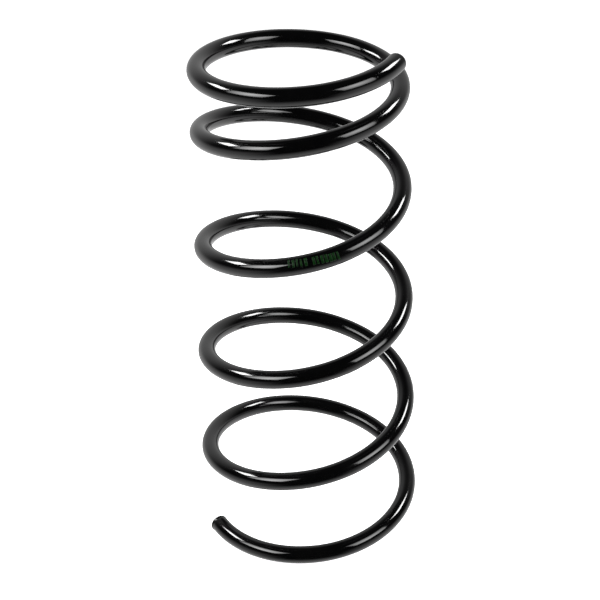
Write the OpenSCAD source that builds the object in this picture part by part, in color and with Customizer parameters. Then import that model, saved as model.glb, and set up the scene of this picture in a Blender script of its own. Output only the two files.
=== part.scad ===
// Open-ended helical compression spring for a vehicle's suspension, wound right-handed from one
// round bar. The bar is divided by upright planes into short arcs, so that the active coils can
// close up: each arc sinks straight down by its own share of the travel. The origin is on the coil
// axis at the lower spring seat, +Z is up, and all sizes are in millimetres and degrees.

/* [Wire] */
// Diameter of the coated wire
wire_d = 13; // [11:0.5:14]
// Edge radius of the sheared lower wire end
lower_edge_r = 0.6; // [0.2:0.1:1.5]
// Edge radius of the rounded upper wire end
upper_edge_r = 2.2; // [0.5:0.1:3]
// Length of the straight stub at each wire end
stub_length = 4; // [4:0.5:8]

/* [Coil] */
// Mean coil radius at the lower wire end
lower_r = 78.5; // [70:0.5:85]
// Smallest mean coil radius, where the taper ends below the upper wire end
waist_r = 67; // [60:0.5:80]
// Mean coil radius at the upper wire end
upper_r = 69.5; // [60:0.5:80]
// Turns over which the upper end opens out from the smallest radius
flare_turns = 0.7; // [0.3:0.05:1.5]
// Direction of the lower wire end, seen from above
start_angle = 208.5; // [0:0.5:360]
// Turns of the wire from end to end
turns = 5.345; // [5:0.005:5.6]
// Arcs in the lower end coil, which sits still in the lower seat
lower_arcs = 5; // [3:1:6]
// Active coils, which close up under load, of eight arcs each
active_coils = 4; // [3:1:4]
// Arcs in the upper end coil, which moves with the upper seat
upper_arcs = 6; // [3:1:7]

/* [Pitch] */
// Rise per turn of the active coils
active_pitch = 88.6; // [70:0.1:100]
// Rise per turn at the lower wire end
lower_pitch = 25; // [10:1:60]
// Turns over which the lower end opens out to the active pitch
lower_ramp = 0.91; // [0.5:0.01:1.5]
// Rise per turn of the upper end coil
upper_pitch = 28.2; // [18:0.1:60]
// Turns that the upper end coil keeps its own pitch
upper_flat = 0.67; // [0.3:0.01:1]
// Turns over which the upper end opens out to the active pitch
upper_ramp = 0.94; // [0.4:0.01:1.4]

/* [Clearance] */
// Gap between stretches of wire that slide down past each other as the coil closes
slide_gap = 0.2; // [0.1:0.05:0.5]

/* [Hidden] */
coat = [0.06, 0.06, 0.065];
$fn = 120;

arcs_per_coil = 8;
active_arcs = active_coils * arcs_per_coil;
arc_count = lower_arcs + active_arcs + upper_arcs;
arc_turns = turns / arc_count;

// How far the lower stub slopes down to its end
stub_drop = stub_length * lower_pitch / (2 * PI * lower_r);
// Extra wire that the cutting planes take off again
spare_length = 4;
// How far a cutting plane stays off an end of the wire that isn't cut
uncut_margin = 20;
wedge_reach = 2 * lower_r;

function lower_name(i) = str("lower_coil_arc_", i + 1);
function active_name(i) =
    str("coil_", floor(i / arcs_per_coil) + 1, "_arc_", i % arcs_per_coil + 1);
function upper_name(i) = str("upper_coil_arc_", i + 1);

// Area under a smooth step that rises from 0 to 1 as x goes from 0 to 1.
function step_area(x) = x <= 0 ? 0 : x >= 1 ? x - 0.5 : pow(x, 3) - pow(x, 4) / 2;

// How far an end's own pitch carries on, in turns, at a distance u from that wire end.
function end_share(u, flat, ramp) = u - ramp * step_area((u - flat) / ramp);

// Height of the wire's centre, u turns up from the lower wire end.
function wire_z(u) =
    wire_d / 2 + stub_drop + active_pitch * u
    + (lower_pitch - active_pitch) * end_share(u, 0, lower_ramp)
    + (upper_pitch - active_pitch)
        * (end_share(turns, upper_flat, upper_ramp) - end_share(turns - u, upper_flat, upper_ramp));

// Smooth step that rises from 0 to 1 as x goes from 0 to 1.
function smooth_step(x) = x <= 0 ? 0 : x >= 1 ? 1 : x * x * (3 - 2 * x);

// Mean coil radius, u turns up from the lower wire end.
function coil_r(u) =
    lower_r + (waist_r - lower_r) * min(u / (turns - flare_turns), 1)
    + (upper_r - waist_r) * smooth_step((u - turns) / flare_turns + 1);

// Point on the wire's centre line, u turns up from the lower wire end.
function wire_point(u) =
    let (a = start_angle + 360 * u)
    [coil_r(u) * cos(a), coil_r(u) * sin(a), wire_z(u)];

function unit(v) = v / norm(v);

// Centre of the circle through three points.
function arc_centre(a, b, c) =
    let (ab = b - a, ac = c - a, n = cross(ab, ac))
    a + (cross(n, ab) * (ac * ac) + cross(ac, n) * (ab * ab)) / (2 * n * n);

// Arc number k of the wire as [centre, x axis, y axis, z axis, radius, angle]. Its x axis
// points at the arc's lower end, and it runs anticlockwise about its z axis.
function arc_frame(k) =
    let (
        a = wire_point(k * arc_turns),
        b = wire_point((k + 0.5) * arc_turns),
        c = wire_point((k + 1) * arc_turns),
        o = arc_centre(a, b, c),
        x = unit(a - o),
        z = unit(cross(b - a, c - b)),
        y = cross(z, x)
    )
    [o, x, y, z, norm(a - o), atan2((c - o) * y, (c - o) * x)];

// Places its children in the frame of arc number k.
module in_arc_frame(f) {
    o = f[0];
    x = f[1];
    y = f[2];
    z = f[3];
    multmatrix([
        [x[0], y[0], z[0], o[0]],
        [x[1], y[1], z[1], o[1]],
        [x[2], y[2], z[2], o[2]],
        [0, 0, 0, 1]
    ]) children();
}

// The wedge of space between two directions around the coil axis.
module wedge(from_angle, to_angle) {
    linear_extrude(height = 2 * wire_z(turns))
        polygon([
            [0, 0],
            wedge_reach * [cos(from_angle), sin(from_angle)],
            wedge_reach * [cos(to_angle), sin(to_angle)]
        ]);
}

// Stretch number k of the wire, between two upright planes through the coil axis. Half of each
// gap comes off each side of it. The two ends of the wire aren't cut: a stub stands on each.
module wire_arc(k, gap_below, gap_above) {
    f = arc_frame(k);
    degrees_per_mm = 180 / (PI * f[4]);
    spare_below = k == 0 ? 0 : spare_length * degrees_per_mm;
    spare_above = k == arc_count - 1 ? 0 : spare_length * degrees_per_mm;
    from_angle = start_angle + 360 * k * arc_turns;
    to_angle = from_angle + 360 * arc_turns;
    color(coat)
        intersection() {
            in_arc_frame(f)
                rotate([0, 0, -spare_below])
                rotate_extrude(angle = f[5] + spare_below + spare_above)
                translate([f[4], 0])
                circle(d = wire_d);
            wedge(
                k == 0 ? from_angle - uncut_margin : from_angle + gap_below / 2 * degrees_per_mm,
                k == arc_count - 1 ? to_angle + uncut_margin : to_angle - gap_above / 2 * degrees_per_mm
            );
        }
}

// Straight stub with a rounded edge, standing on the XY plane.
module stub(edge_r) {
    rotate_extrude() {
        square([wire_d / 2 - edge_r, stub_length]);
        square([wire_d / 2, stub_length - edge_r]);
        translate([wire_d / 2 - edge_r, stub_length - edge_r])
            intersection() {
                circle(r = edge_r);
                square(edge_r);
            }
    }
}

module lower_wire_end() {
    f = arc_frame(0);
    color(coat)
        in_arc_frame(f)
        translate([f[4], 0, 0])
        rotate([90, 0, 0])
        stub(lower_edge_r);
}

module upper_wire_end() {
    f = arc_frame(arc_count - 1);
    color(coat)
        in_arc_frame(f)
        rotate([0, 0, f[5]])
        translate([f[4], 0, 0])
        rotate([-90, 0, 0])
        stub(upper_edge_r);
}

module lower_coil_arc(i) {
    last = i == lower_arcs - 1;
    wire_arc(i, 0, last ? slide_gap : 0);
}

module active_coil_arc(i) {
    wire_arc(lower_arcs + i, slide_gap, slide_gap);
}

module upper_coil_arc(i) {
    wire_arc(lower_arcs + active_arcs + i, i == 0 ? slide_gap : 0, 0);
}

lower_wire_end();
for (i = [0 : lower_arcs - 1])
    lower_coil_arc(i);
for (i = [0 : active_arcs - 1])
    active_coil_arc(i);
for (i = [0 : upper_arcs - 1])
    upper_coil_arc(i);
upper_wire_end();
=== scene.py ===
import math

import bpy
import numpy as np
from mathutils import Matrix, Vector


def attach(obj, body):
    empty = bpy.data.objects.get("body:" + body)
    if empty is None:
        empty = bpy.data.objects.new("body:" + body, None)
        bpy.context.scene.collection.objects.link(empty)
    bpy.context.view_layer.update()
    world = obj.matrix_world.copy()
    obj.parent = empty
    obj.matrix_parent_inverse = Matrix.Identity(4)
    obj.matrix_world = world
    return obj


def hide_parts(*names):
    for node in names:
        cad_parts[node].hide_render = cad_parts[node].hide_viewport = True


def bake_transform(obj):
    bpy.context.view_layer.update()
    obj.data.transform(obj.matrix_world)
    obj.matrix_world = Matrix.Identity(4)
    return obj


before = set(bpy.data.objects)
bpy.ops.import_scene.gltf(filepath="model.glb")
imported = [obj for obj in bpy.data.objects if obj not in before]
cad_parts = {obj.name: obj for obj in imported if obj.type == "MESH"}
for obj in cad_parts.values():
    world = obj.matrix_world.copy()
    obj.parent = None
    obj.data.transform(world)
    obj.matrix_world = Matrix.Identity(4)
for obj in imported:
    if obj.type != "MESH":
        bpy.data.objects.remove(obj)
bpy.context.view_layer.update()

MM = 0.001

# ---------------------------------------------------------------- the coil, as in the CAD
WIRE_R = 6.5 * MM
LOWER_COIL_R = 78.5 * MM
WAIST_COIL_R = 67.0 * MM
UPPER_COIL_R = 69.5 * MM
FLARE_TURNS = 0.7
START_ANGLE = math.radians(208.5)
TURNS = 5.345
LOWER_ARCS = 5
ACTIVE_ARCS = 32
UPPER_ARCS = 6
ARCS_PER_COIL = 8
STUB = 4.0 * MM
ACTIVE_PITCH = 88.6 * MM
LOWER_PITCH = 25.0 * MM
LOWER_RAMP = 0.91
UPPER_PITCH = 28.2 * MM
UPPER_FLAT = 0.67
UPPER_RAMP = 0.94
ARC_COUNT = LOWER_ARCS + ACTIVE_ARCS + UPPER_ARCS
ARC_TURNS = TURNS / ARC_COUNT
STUB_DROP = STUB * LOWER_PITCH / (2 * math.pi * LOWER_COIL_R)

# ---------------------------------------------------------------- how finely it is modelled
SIDES = 72
SIDE_ANGLES = np.arange(SIDES) / SIDES * 2 * math.pi
RINGS_PER_ARC = 28
RINGS_PER_HALF = 14
# Turns to either side over which the wire's direction is measured
FRAME_STEP = 1e-4


def smooth(x):
    """Smooth step that rises from 0 to 1 as x goes from 0 to 1."""
    x = np.clip(x, 0.0, 1.0)
    return x * x * (3.0 - 2.0 * x)


def step_area(x):
    """Area under that smooth step up to x."""
    x = np.asarray(x, float)
    return np.where(x <= 0, 0.0, np.where(x >= 1, x - 0.5, x**3 - x**4 / 2))


def end_share(u, flat, ramp):
    """How far an end's own pitch carries on, in turns, at a distance u from that wire end."""
    return u - ramp * step_area((u - flat) / ramp)


def wire_z(u):
    """Height of the wire's centre, u turns up from the lower end."""
    whole = end_share(TURNS, UPPER_FLAT, UPPER_RAMP)
    left = end_share(TURNS - u, UPPER_FLAT, UPPER_RAMP)
    return (
        WIRE_R + STUB_DROP + ACTIVE_PITCH * u
        + (LOWER_PITCH - ACTIVE_PITCH) * end_share(u, 0.0, LOWER_RAMP)
        + (UPPER_PITCH - ACTIVE_PITCH) * (whole - left)
    )


def coil_r(u):
    """Mean coil radius: a plain taper to the waist, then the upper end opens out again."""
    u = np.asarray(u, float)
    taper = (WAIST_COIL_R - LOWER_COIL_R) * np.minimum(u / (TURNS - FLARE_TURNS), 1.0)
    flare = smooth((u - TURNS) / FLARE_TURNS + 1.0)
    return LOWER_COIL_R + taper + (UPPER_COIL_R - WAIST_COIL_R) * flare


def on_helix(u):
    """Centre of the wire, u turns up from the lower end, for an array of u."""
    u = np.asarray(u, float)
    r = coil_r(u)
    a = START_ANGLE + 2 * math.pi * u
    return np.stack([r * np.cos(a), r * np.sin(a), wire_z(u)], axis=-1)


def unit(v):
    return v / np.linalg.norm(v, axis=-1, keepdims=True)


def turn_length(u):
    """Length of wire per turn at u."""
    return 2 * math.pi * coil_r(u)


def wire_frames(s):
    """Centre, outward, upward and forward directions at each length-wise place. A place is in
    turns between the two ends of the coil; past an end it runs straight on along the stub."""
    s = np.asarray(s, float)
    u = np.clip(s, 0.0, TURNS)
    low = np.clip(u - FRAME_STEP, 0.0, TURNS)
    high = np.clip(u + FRAME_STEP, 0.0, TURNS)
    forward = unit(on_helix(high) - on_helix(low))
    past = np.where(s < 0, s, np.where(s > TURNS, s - TURNS, 0.0))
    centre = on_helix(u) + forward * (past * turn_length(u))[:, None]
    a = START_ANGLE + 2 * math.pi * u
    out = np.stack([np.cos(a), np.sin(a), np.zeros_like(a)], axis=-1)
    out = unit(out - forward * np.sum(out * forward, axis=-1, keepdims=True))
    return centre, out, np.cross(out, forward), forward


def spokes(out, up, angles):
    """Directions out from the wire's centre: one row for each place, one column for each angle,
    which is 0 on the outside of the coil and a quarter turn on top."""
    cos, sin = np.cos(angles)[None, :, None], np.sin(angles)[None, :, None]
    return cos * out[:, None, :] + sin * up[:, None, :]


# ---------------------------------------------------------------- the coat's slow unevenness
COAT_SEED = 7
COAT_WAVES = 9
COAT_DEPTH = 0.018 * MM
# Radians per turn of the coil, and whole waves round the wire: from, and up to but not including
WAVES_ALONG = (16.0, 92.0)
WAVES_ROUND = (1, 5)
rng = np.random.default_rng(COAT_SEED)
wave_along = rng.uniform(*WAVES_ALONG, COAT_WAVES)
wave_round = rng.integers(*WAVES_ROUND, COAT_WAVES)
wave_phase = rng.uniform(0.0, 2 * math.pi, COAT_WAVES)


def coat_swell(s, t):
    """How far the coat stands proud at place s and angle t round the wire."""
    total = np.zeros(np.broadcast(s, t).shape)
    for along, around, phase in zip(wave_along, wave_round, wave_phase):
        total = total + np.sin(along * s + around * t + phase)
    return COAT_DEPTH * total / math.sqrt(COAT_WAVES)


# ---------------------------------------------------------------- meshes
def smooth_object(name, verts, faces, sharp, material):
    """Smooth-shaded object, with the given edges kept sharp."""
    mesh = bpy.data.meshes.new(name)
    mesh.from_pydata([tuple(v) for v in verts], [], faces)
    mesh.polygons.foreach_set("use_smooth", [True] * len(mesh.polygons))
    keys = {tuple(sorted(e)) for e in sharp}
    for e in mesh.edges:
        if tuple(sorted(e.vertices)) in keys:
            e.use_edge_sharp = True
    mesh.materials.append(material)
    obj = bpy.data.objects.new(name, mesh)
    bpy.context.collection.objects.link(obj)
    return obj


def set_normals(mesh, corner_normals):
    """Give each face the normals listed for its corners; a face with None keeps its own."""
    mesh.update()
    loops = [tuple(n.vector) for n in mesh.corner_normals]
    for face, own in zip(mesh.polygons, corner_normals):
        if own is not None:
            for i, n in zip(face.loop_indices, own):
                loops[i] = tuple(n)
    mesh.normals_split_custom_set(loops)


def tube(name, places, radii, material, cap_low=(), cap_high=()):
    """Closed length of wire through rings at the given places. Radii holds one radius for each
    ring, or one for each side of each ring. A cap is a list of (depth, radius) rings from the rim
    in to the middle, depth being away from the wire; without one the end is a flat face."""
    centre, out, up, forward = wire_frames(places)
    ring = spokes(out, up, SIDE_ANGLES)
    swell = coat_swell(np.asarray(places)[:, None], SIDE_ANGLES[None, :])
    radii = np.asarray(radii, float)
    by_side = radii if radii.ndim == 2 else radii[:, None]
    by_ring = radii.mean(axis=1) if radii.ndim == 2 else radii
    verts = (centre[:, None, :] + ring * (by_side + swell)[:, :, None]).reshape(-1, 3).tolist()

    # A changing radius tips the normal along the wire. The coat's swell is left out of it, so that
    # neighbouring pieces shade alike where they meet.
    along = np.concatenate([[0.0], np.cumsum(np.linalg.norm(np.diff(centre, axis=0), axis=1))])
    slope = np.gradient(by_ring, along)
    normal = unit(ring - forward[:, None, :] * slope[:, None, None])

    faces, normals, sharp = [], [], []
    last = len(places) - 1
    for i in range(last):
        for j in range(SIDES):
            k = (j + 1) % SIDES
            a, b = i * SIDES, (i + 1) * SIDES
            faces.append((a + j, b + j, b + k, a + k))
            normals.append((normal[i, j], normal[i + 1, j], normal[i + 1, k], normal[i, k]))

    def cap(at, rings):
        # Rings run backwards about the wire's direction, so the upper end's faces are reversed.
        order = 1 if at == 0 else -1
        outward = -order * forward[at]
        rim = [at * SIDES + j for j in range(SIDES)]
        if not rings:
            faces.append(tuple(rim[::order]))
            normals.append([outward] * SIDES)
            sharp.extend((rim[j], rim[(j + 1) % SIDES]) for j in range(SIDES))
            return
        for depth, radius in rings:
            fresh = [len(verts) + j for j in range(SIDES)]
            verts.extend((centre[at] + outward * depth + spoke * radius).tolist() for spoke in ring[at])
            for j in range(SIDES):
                k = (j + 1) % SIDES
                faces.append((rim[j], rim[k], fresh[k], fresh[j])[::order])
                normals.append(None)
            rim = fresh
        faces.append(tuple(rim[::order]))
        normals.append(None)

    cap(0, cap_low)
    cap(last, cap_high)
    obj = smooth_object(name, verts, faces, sharp, material)
    set_normals(obj.data, normals)
    return obj


# ---------------------------------------------------------------- materials
def add_noise(tree, place, scale, detail):
    node = tree.nodes.new("ShaderNodeTexNoise")
    node.inputs["Scale"].default_value = scale
    node.inputs["Detail"].default_value = detail
    tree.links.new(place, node.inputs["Vector"])
    return node.outputs["Fac"]


def add_range(tree, source, from_range, to_range, kind="LINEAR"):
    """Carry a value from one range to another, held at both ends."""
    node = tree.nodes.new("ShaderNodeMapRange")
    node.interpolation_type = kind
    node.inputs["From Min"].default_value, node.inputs["From Max"].default_value = from_range
    node.inputs["To Min"].default_value, node.inputs["To Max"].default_value = to_range
    tree.links.new(source, node.inputs["Value"])
    return node.outputs["Result"]


def add_tint(tree, source, from_range, dark, light):
    """Colour between dark and light as the source crosses a range."""
    node = tree.nodes.new("ShaderNodeValToRGB")
    for stop, position, colour in zip(node.color_ramp.elements, from_range, (dark, light)):
        stop.position = position
        stop.color = (*colour, 1.0)
    tree.links.new(source, node.inputs["Fac"])
    return node.outputs["Color"]


def add_bump(tree, height, strength, distance, under=None):
    node = tree.nodes.new("ShaderNodeBump")
    node.inputs["Strength"].default_value = strength
    node.inputs["Distance"].default_value = distance
    tree.links.new(height, node.inputs["Height"])
    if under is not None:
        tree.links.new(under, node.inputs["Normal"])
    return node.outputs["Normal"]


def new_material(name):
    """Material with its node tree, its shader's inputs and a place on the object."""
    material = bpy.data.materials.new(name)
    material.use_nodes = True
    tree = material.node_tree
    place = tree.nodes.new("ShaderNodeTexCoord").outputs["Object"]
    return material, tree, tree.nodes["Principled BSDF"].inputs, place


COAT_IOR = 1.5
COAT_DARK = (0.0008, 0.0008, 0.0009)
COAT_LIGHT = (0.0018, 0.0018, 0.0019)
COAT_ROUGHNESS = (0.06, 0.11)
CLOUD_SCALE = 60.0
CLOUD_DETAIL = 6.0
# Ranges of the cloud noise over which the black lightens and the gloss dulls
CLOUD_TINT_RANGE = (0.35, 0.75)
CLOUD_GLOSS_RANGE = (0.3, 0.7)
PEEL_SCALE = 420.0
PEEL_DETAIL = 2.0
PEEL_STRENGTH = 0.10
PEEL_DEPTH = 0.10 * MM
NIB_SCALE = 170.0
NIB_REACH = 0.10
NIB_STRENGTH = 0.20
NIB_HEIGHT = 0.12 * MM


def coat_material():
    material, tree, shader, place = new_material("gloss_black_coat")
    shader["Metallic"].default_value = 0.0
    shader["IOR"].default_value = COAT_IOR
    # faint cloudiness of the black, and of its gloss
    cloud = add_noise(tree, place, CLOUD_SCALE, CLOUD_DETAIL)
    tint = add_tint(tree, cloud, CLOUD_TINT_RANGE, COAT_DARK, COAT_LIGHT)
    tree.links.new(tint, shader["Base Color"])
    gloss = add_range(tree, cloud, CLOUD_GLOSS_RANGE, COAT_ROUGHNESS)
    tree.links.new(gloss, shader["Roughness"])
    # orange peel, and the odd nib of dust under the coat
    peel = add_noise(tree, place, PEEL_SCALE, PEEL_DETAIL)
    peel = add_bump(tree, peel, PEEL_STRENGTH, PEEL_DEPTH)
    nib = tree.nodes.new("ShaderNodeTexVoronoi")
    nib.inputs["Scale"].default_value = NIB_SCALE
    tree.links.new(place, nib.inputs["Vector"])
    nib_top = add_range(tree, nib.outputs["Distance"], (0.0, NIB_REACH), (1.0, 0.0), "SMOOTHSTEP")
    relief = add_bump(tree, nib_top, NIB_STRENGTH, NIB_HEIGHT, under=peel)
    tree.links.new(relief, shader["Normal"])
    return material


INK_IOR = 1.45
INK_SHEEN = 0.2
INK_ROUGHNESS = 0.35
INK_DARK = (0.0006, 0.006, 0.0008)
INK_LIGHT = (0.0015, 0.026, 0.002)
WASH_SCALE = 900.0
WASH_DETAIL = 4.0
WASH_TINT_RANGE = (0.30, 0.66)


def ink_material():
    material, tree, shader, place = new_material("green_ink")
    shader["Roughness"].default_value = INK_ROUGHNESS
    shader["IOR"].default_value = INK_IOR
    shader["Specular IOR Level"].default_value = INK_SHEEN
    # uneven inking
    wash = add_noise(tree, place, WASH_SCALE, WASH_DETAIL)
    tint = add_tint(tree, wash, WASH_TINT_RANGE, INK_DARK, INK_LIGHT)
    tree.links.new(tint, shader["Base Color"])
    return material


COAT = coat_material()
INK = ink_material()


def lower_name(i):
    return f"lower_coil_arc_{i + 1}"


def active_name(i):
    return f"coil_{i // ARCS_PER_COIL + 1}_arc_{i % ARCS_PER_COIL + 1}"


def upper_name(i):
    return f"upper_coil_arc_{i + 1}"


def plain_length(name, k_from, k_to, rings):
    """Stretch of plain wire between two places given in arcs."""
    places = np.linspace(k_from, k_to, rings + 1) * ARC_TURNS
    return tube(name, places, np.full(rings + 1, WIRE_R), COAT)


for i in range(LOWER_ARCS):
    piece = plain_length(f"wire_{lower_name(i)}", i, i + 1, RINGS_PER_ARC)
    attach(piece, "lower_end_coil")
    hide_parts(lower_name(i))

for i in range(UPPER_ARCS):
    k = LOWER_ARCS + ACTIVE_ARCS + i
    piece = plain_length(f"wire_{upper_name(i)}", k, k + 1, RINGS_PER_ARC)
    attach(piece, "upper_end_coil")
    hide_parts(upper_name(i))

# Each active arc is made as two halves.
for i in range(ACTIVE_ARCS):
    k = LOWER_ARCS + i
    for half, word in ((0.0, "a"), (0.5, "b")):
        piece = plain_length(f"wire_{active_name(i)}_{word}", k + half, k + half + 0.5, RINGS_PER_HALF)
        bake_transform(piece)
        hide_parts(active_name(i))

# ---------------------------------------------------------------- the two wire ends
# The lower end is sheared: the wire necks a little on its outside, then a rolled lip stands round a
# dished face. Millimetres past the coil's end, and how far the wire stands proud there.
NECK = [
    (4.0, 0.15), (3.85, 0.45), (3.5, 0.52), (3.1, 0.35), (2.8, 0.0), (2.4, -0.33),
    (1.9, -0.30), (1.3, -0.15), (0.7, -0.04), (0.0, 0.0),
]
# The dish's rings: depth and radius.
DISH = [
    (-0.02 * MM, WIRE_R - 0.45 * MM), (-0.22 * MM, WIRE_R - 0.8 * MM), (-0.35 * MM, WIRE_R * 0.7),
    (-0.30 * MM, WIRE_R * 0.4), (-0.28 * MM, WIRE_R * 0.12),
]
LIP_LEAN = math.radians(10.0)

# The upper end is dressed round: its edge radius in millimetres, its rings, how much of the quarter
# circle they cover, and the plain rings before it. Two more rings close the face.
EDGE_R = 2.2
EDGE_RINGS = 12
EDGE_COVER = 0.96
PLAIN_RINGS = [(0.0, 0.0), (0.6, 0.0), (1.2, 0.0)]
CROWN = [(0.004 * MM, WIRE_R * 0.5), (0.01 * MM, WIRE_R * 0.15)]


def stub_places(distances, end):
    """Places for rings on a stub, from distances in metres past the coil's end."""
    if end < 0:
        return -np.asarray(distances) / float(turn_length(0.0))
    return TURNS + np.asarray(distances) / float(turn_length(TURNS))


def lip_share():
    """How much of the lip's height stands at each angle: most of it on the outside, none below."""
    return np.clip(np.cos(SIDE_ANGLES - LIP_LEAN), 0.0, 1.0)


piece = tube(
    "wire_lower_wire_end",
    stub_places([d * MM for d, _ in NECK], -1),
    WIRE_R + np.array([proud for _, proud in NECK])[:, None] * lip_share()[None, :] * MM,
    COAT, cap_low=DISH,
)
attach(piece, "lower_end_coil")
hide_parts("lower_wire_end")

dressed = PLAIN_RINGS + [
    (STUB / MM - EDGE_R * (1 - math.sin(t)), EDGE_R * (math.cos(t) - 1))
    for t in np.linspace(0.0, math.pi / 2 * EDGE_COVER, EDGE_RINGS)
]
piece = tube(
    "wire_upper_wire_end",
    stub_places([d * MM for d, _ in dressed], 1),
    [WIRE_R + proud * MM for _, proud in dressed],
    COAT, cap_high=CROWN,
)
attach(piece, "upper_end_coil")
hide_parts("upper_wire_end")

# ---------------------------------------------------------------- the plain ink mark
# Where it lies, in turns, and the angle round the wire of its middle at each end
MARK_FROM = 3.150
MARK_TO = 3.224
MARK_CENTRE_LEFT = math.radians(50.0)
MARK_CENTRE_RIGHT = math.radians(27.0)
MARK_HEIGHT = 5.6 * MM
MARK_THICK = 0.05 * MM
MARK_BARS = 13
MARK_SKIP = (5,)
MARK_SEED = 11
# Share of its room that a bar fills, and how far it slips round the wire, in radians
BAR_FILL = (0.45, 0.8)
BAR_SLIP = (-0.05, 0.05)
BAR_GRID = (6, 10)


def mark_bar(name, s_from, s_to, t_from, t_to):
    """Thin closed patch of ink lying on the wire between two places and two angles."""
    n_s, n_t = BAR_GRID
    s = np.linspace(s_from, s_to, n_s)
    t = np.linspace(t_from, t_to, n_t)
    centre, out, up, _ = wire_frames(s)
    ring = spokes(out, up, t)
    swell = coat_swell(s[:, None], t[None, :])[:, :, None]
    top = centre[:, None, :] + ring * (WIRE_R + swell + MARK_THICK)
    low = centre[:, None, :] + ring * (WIRE_R + swell - MARK_THICK)
    verts = np.concatenate([top.reshape(-1, 3), low.reshape(-1, 3)]).tolist()
    below = n_s * n_t
    faces = []
    for i in range(n_s - 1):
        for j in range(n_t - 1):
            a, b = i * n_t + j, (i + 1) * n_t + j
            faces.append((a, b, b + 1, a + 1))
            faces.append((below + a, below + a + 1, below + b + 1, below + b))
    rim = [i * n_t for i in range(n_s)] + [(n_s - 1) * n_t + j for j in range(1, n_t)]
    rim += [i * n_t + n_t - 1 for i in range(n_s - 2, -1, -1)] + [j for j in range(n_t - 2, 0, -1)]
    for a, b in zip(rim, rim[1:] + rim[:1]):
        faces.append((b, a, below + a, below + b))
    return smooth_object(name, verts, faces, [], INK)


bar_rng = np.random.default_rng(MARK_SEED)
cell = (MARK_TO - MARK_FROM) / MARK_BARS
half_height = MARK_HEIGHT / WIRE_R / 2
for i in range(MARK_BARS):
    fill = bar_rng.uniform(*BAR_FILL)
    slip = bar_rng.uniform(*BAR_SLIP)
    if i in MARK_SKIP:
        continue
    s_from = MARK_FROM + cell * i
    s_to = s_from + cell * fill
    # the half-arc that the bar lies on
    middle = (s_from + s_to) / 2
    arc = int(middle / ARC_TURNS)
    half = int((middle / ARC_TURNS - arc) * 2) / 2
    centre = MARK_CENTRE_LEFT + (MARK_CENTRE_RIGHT - MARK_CENTRE_LEFT) * i / (MARK_BARS - 1)
    piece = mark_bar(f"ink_bar_{i + 1}", s_from, s_to,
                     centre - half_height + slip, centre + half_height + slip)
    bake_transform(piece)

# ---------------------------------------------------------------- floor
FLOOR_R = 14.0
FLOOR_SIDES = 64
FLOOR_COLOUR = (0.9, 0.9, 0.9, 1.0)
FLOOR_ROUGHNESS = 0.9
FLOOR_GLOW = 0.95
floor_angles = np.linspace(0, 2 * math.pi, FLOOR_SIDES + 1)[:-1]
floor_mesh = bpy.data.meshes.new("floor")
floor_mesh.from_pydata([(FLOOR_R * math.cos(a), FLOOR_R * math.sin(a), 0.0) for a in floor_angles],
                       [], [tuple(range(FLOOR_SIDES))])
floor_look = bpy.data.materials.new("pale_floor")
floor_look.use_nodes = True
floor_shader = floor_look.node_tree.nodes["Principled BSDF"].inputs
floor_shader["Base Color"].default_value = FLOOR_COLOUR
floor_shader["Roughness"].default_value = FLOOR_ROUGHNESS
floor_shader["Specular IOR Level"].default_value = 0.0
floor_shader["Emission Color"].default_value = (1.0, 1.0, 1.0, 1.0)
floor_shader["Emission Strength"].default_value = FLOOR_GLOW
floor_mesh.materials.append(floor_look)
floor = bpy.data.objects.new("floor", floor_mesh)
bpy.context.collection.objects.link(floor)
# The coat reflects the shaded room below instead of this bright floor.
floor.visible_glossy = False

# ---------------------------------------------------------------- light
# Middle of the spring, at half its height
CENTRE = Vector((0.0, 0.0, 0.19455))


def toward(azimuth, elevation):
    """Direction from the object: azimuth 0 is the camera's side, and it grows to the right."""
    a, e = math.radians(azimuth), math.radians(elevation)
    return Vector((math.sin(a) * math.cos(e), -math.cos(a) * math.cos(e), math.sin(e)))


LIGHT_DISTANCE = 1.7
# A grid on each box dims it away from its own axis; this is how much brighter the axis gets.
SOFTBOX_SPREAD = math.radians(60.0)
GRID_GAIN = math.tan(SOFTBOX_SPREAD / 2) / (math.tan(SOFTBOX_SPREAD / 2) - SOFTBOX_SPREAD / 2)
SOFTBOXES = {
    # name: azimuth, elevation, half width and half height in degrees, radiance
    "softbox_front_left": (-60.5, 38.0, 19.0, 12.5, 12.0),
    "softbox_back_left": (-107.0, 38.5, 11.5, 5.0, 32.0),
    "softbox_front_right": (57.0, 34.0, 17.0, 16.0, 9.0),
    "softbox_back_right": (113.0, 42.0, 10.0, 6.0, 30.0),
}
for name, (azimuth, elevation, half_w, half_h, radiance) in SOFTBOXES.items():
    data = bpy.data.lights.new(name, "AREA")
    data.shape = "RECTANGLE"
    data.size = 2 * LIGHT_DISTANCE * math.tan(math.radians(half_w))
    data.size_y = 2 * LIGHT_DISTANCE * math.tan(math.radians(half_h))
    data.spread = SOFTBOX_SPREAD
    data.energy = radiance / GRID_GAIN * math.pi * data.size * data.size_y
    lamp = bpy.data.objects.new(name, data)
    away = toward(azimuth, elevation)
    lamp.location = CENTRE + away * LIGHT_DISTANCE
    lamp.rotation_mode = "QUATERNION"
    lamp.rotation_quaternion = away.to_track_quat("Z", "Y")
    bpy.context.collection.objects.link(lamp)

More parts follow.
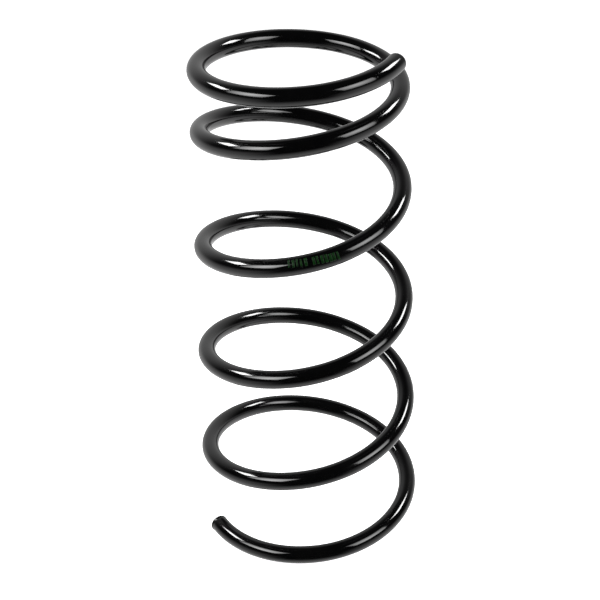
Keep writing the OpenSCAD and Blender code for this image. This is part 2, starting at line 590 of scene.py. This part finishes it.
# ---------------------------------------------------------------- the room
# Dark overhead and behind the camera, pale behind the object and below, with a glow low down on
# both sides. Each of them grows or fades over a range of one component of the direction.
BEHIND_RANGE, BEHIND_RADIANCE = (0.15, 0.95), 0.55
ABOVE_RANGE = (0.5, 0.9)
BELOW_RANGE, BELOW_RADIANCE = (-0.3, -1.0), 1.2
DARK_RADIANCE = 0.015
RIGHT_RANGE, RIGHT_GLOW = (0.35, 0.95), 0.9
LEFT_RANGE, LEFT_GLOW = (-0.35, -0.95), 0.8
LOW_RANGE = (0.15, -0.35)
world = bpy.data.worlds.new("room")
bpy.context.scene.world = world
world.use_nodes = True
sky = world.node_tree
direction = sky.nodes.new("ShaderNodeTexCoord")
split = sky.nodes.new("ShaderNodeSeparateXYZ")
sky.links.new(direction.outputs["Generated"], split.inputs["Vector"])


def room_part(axis, from_range, to_range):
    return add_range(sky, split.outputs[axis], from_range, to_range, "SMOOTHSTEP")


def combine(kind, a, b):
    """Sum, difference or product of two values, each a number or a node's output."""
    node = sky.nodes.new("ShaderNodeMath")
    node.operation = kind
    for socket, value in zip(node.inputs, (a, b)):
        if isinstance(value, float):
            socket.default_value = value
        else:
            sky.links.new(value, socket)
    return node.outputs["Value"]


behind = room_part("Y", BEHIND_RANGE, (0.0, BEHIND_RADIANCE))
not_above = room_part("Z", ABOVE_RANGE, (1.0, 0.0))
below = room_part("Z", BELOW_RANGE, (DARK_RADIANCE, BELOW_RADIANCE))
to_right = room_part("X", RIGHT_RANGE, (0.0, RIGHT_GLOW))
to_left = room_part("X", LEFT_RANGE, (0.0, LEFT_GLOW))
low_down = room_part("Z", LOW_RANGE, (0.0, 1.0))
room = combine("ADD", combine("MULTIPLY", behind, not_above), below)
room = combine("ADD", room, combine("MULTIPLY", combine("ADD", to_right, to_left), low_down))
# The backdrop itself is plain white.
backdrop = sky.nodes.new("ShaderNodeLightPath").outputs["Is Camera Ray"]
strength = combine("ADD", combine("MULTIPLY", room, combine("SUBTRACT", 1.0, backdrop)), backdrop)
background = sky.nodes["Background"]
sky.links.new(strength, background.inputs["Strength"])
background.inputs["Color"].default_value = (1.0, 1.0, 1.0, 1.0)

# ---------------------------------------------------------------- camera
CAMERA_AZIMUTH = -0.15
CAMERA_ELEVATION = 31.357
CAMERA_ROLL = math.radians(1.462)
CAMERA_DISTANCE = 1.0056
CAMERA_LENS = 82.73
CAMERA_SHIFT = (-0.0074, -0.0140)
SENSOR_WIDTH = 36.0
CLIP = (0.05, 60.0)
camera_data = bpy.data.cameras.new("camera")
camera_data.sensor_width = SENSOR_WIDTH
camera_data.lens = CAMERA_LENS
camera_data.shift_x, camera_data.shift_y = CAMERA_SHIFT
camera_data.clip_start, camera_data.clip_end = CLIP
camera = bpy.data.objects.new("camera", camera_data)
bpy.context.collection.objects.link(camera)
back = toward(CAMERA_AZIMUTH, CAMERA_ELEVATION)
right = Vector((0.0, 0.0, 1.0)).cross(back).normalized()
upright = back.cross(right)
local_x = right * math.cos(CAMERA_ROLL) - upright * math.sin(CAMERA_ROLL)
local_y = right * math.sin(CAMERA_ROLL) + upright * math.cos(CAMERA_ROLL)
place = CENTRE + back * CAMERA_DISTANCE
camera.matrix_world = Matrix((
    (local_x.x, local_y.x, back.x, place.x),
    (local_x.y, local_y.y, back.y, place.y),
    (local_x.z, local_y.z, back.z, place.z),
    (0.0, 0.0, 0.0, 1.0),
))
bpy.context.scene.camera = camera
bpy.context.scene.view_settings.view_transform = "Standard"
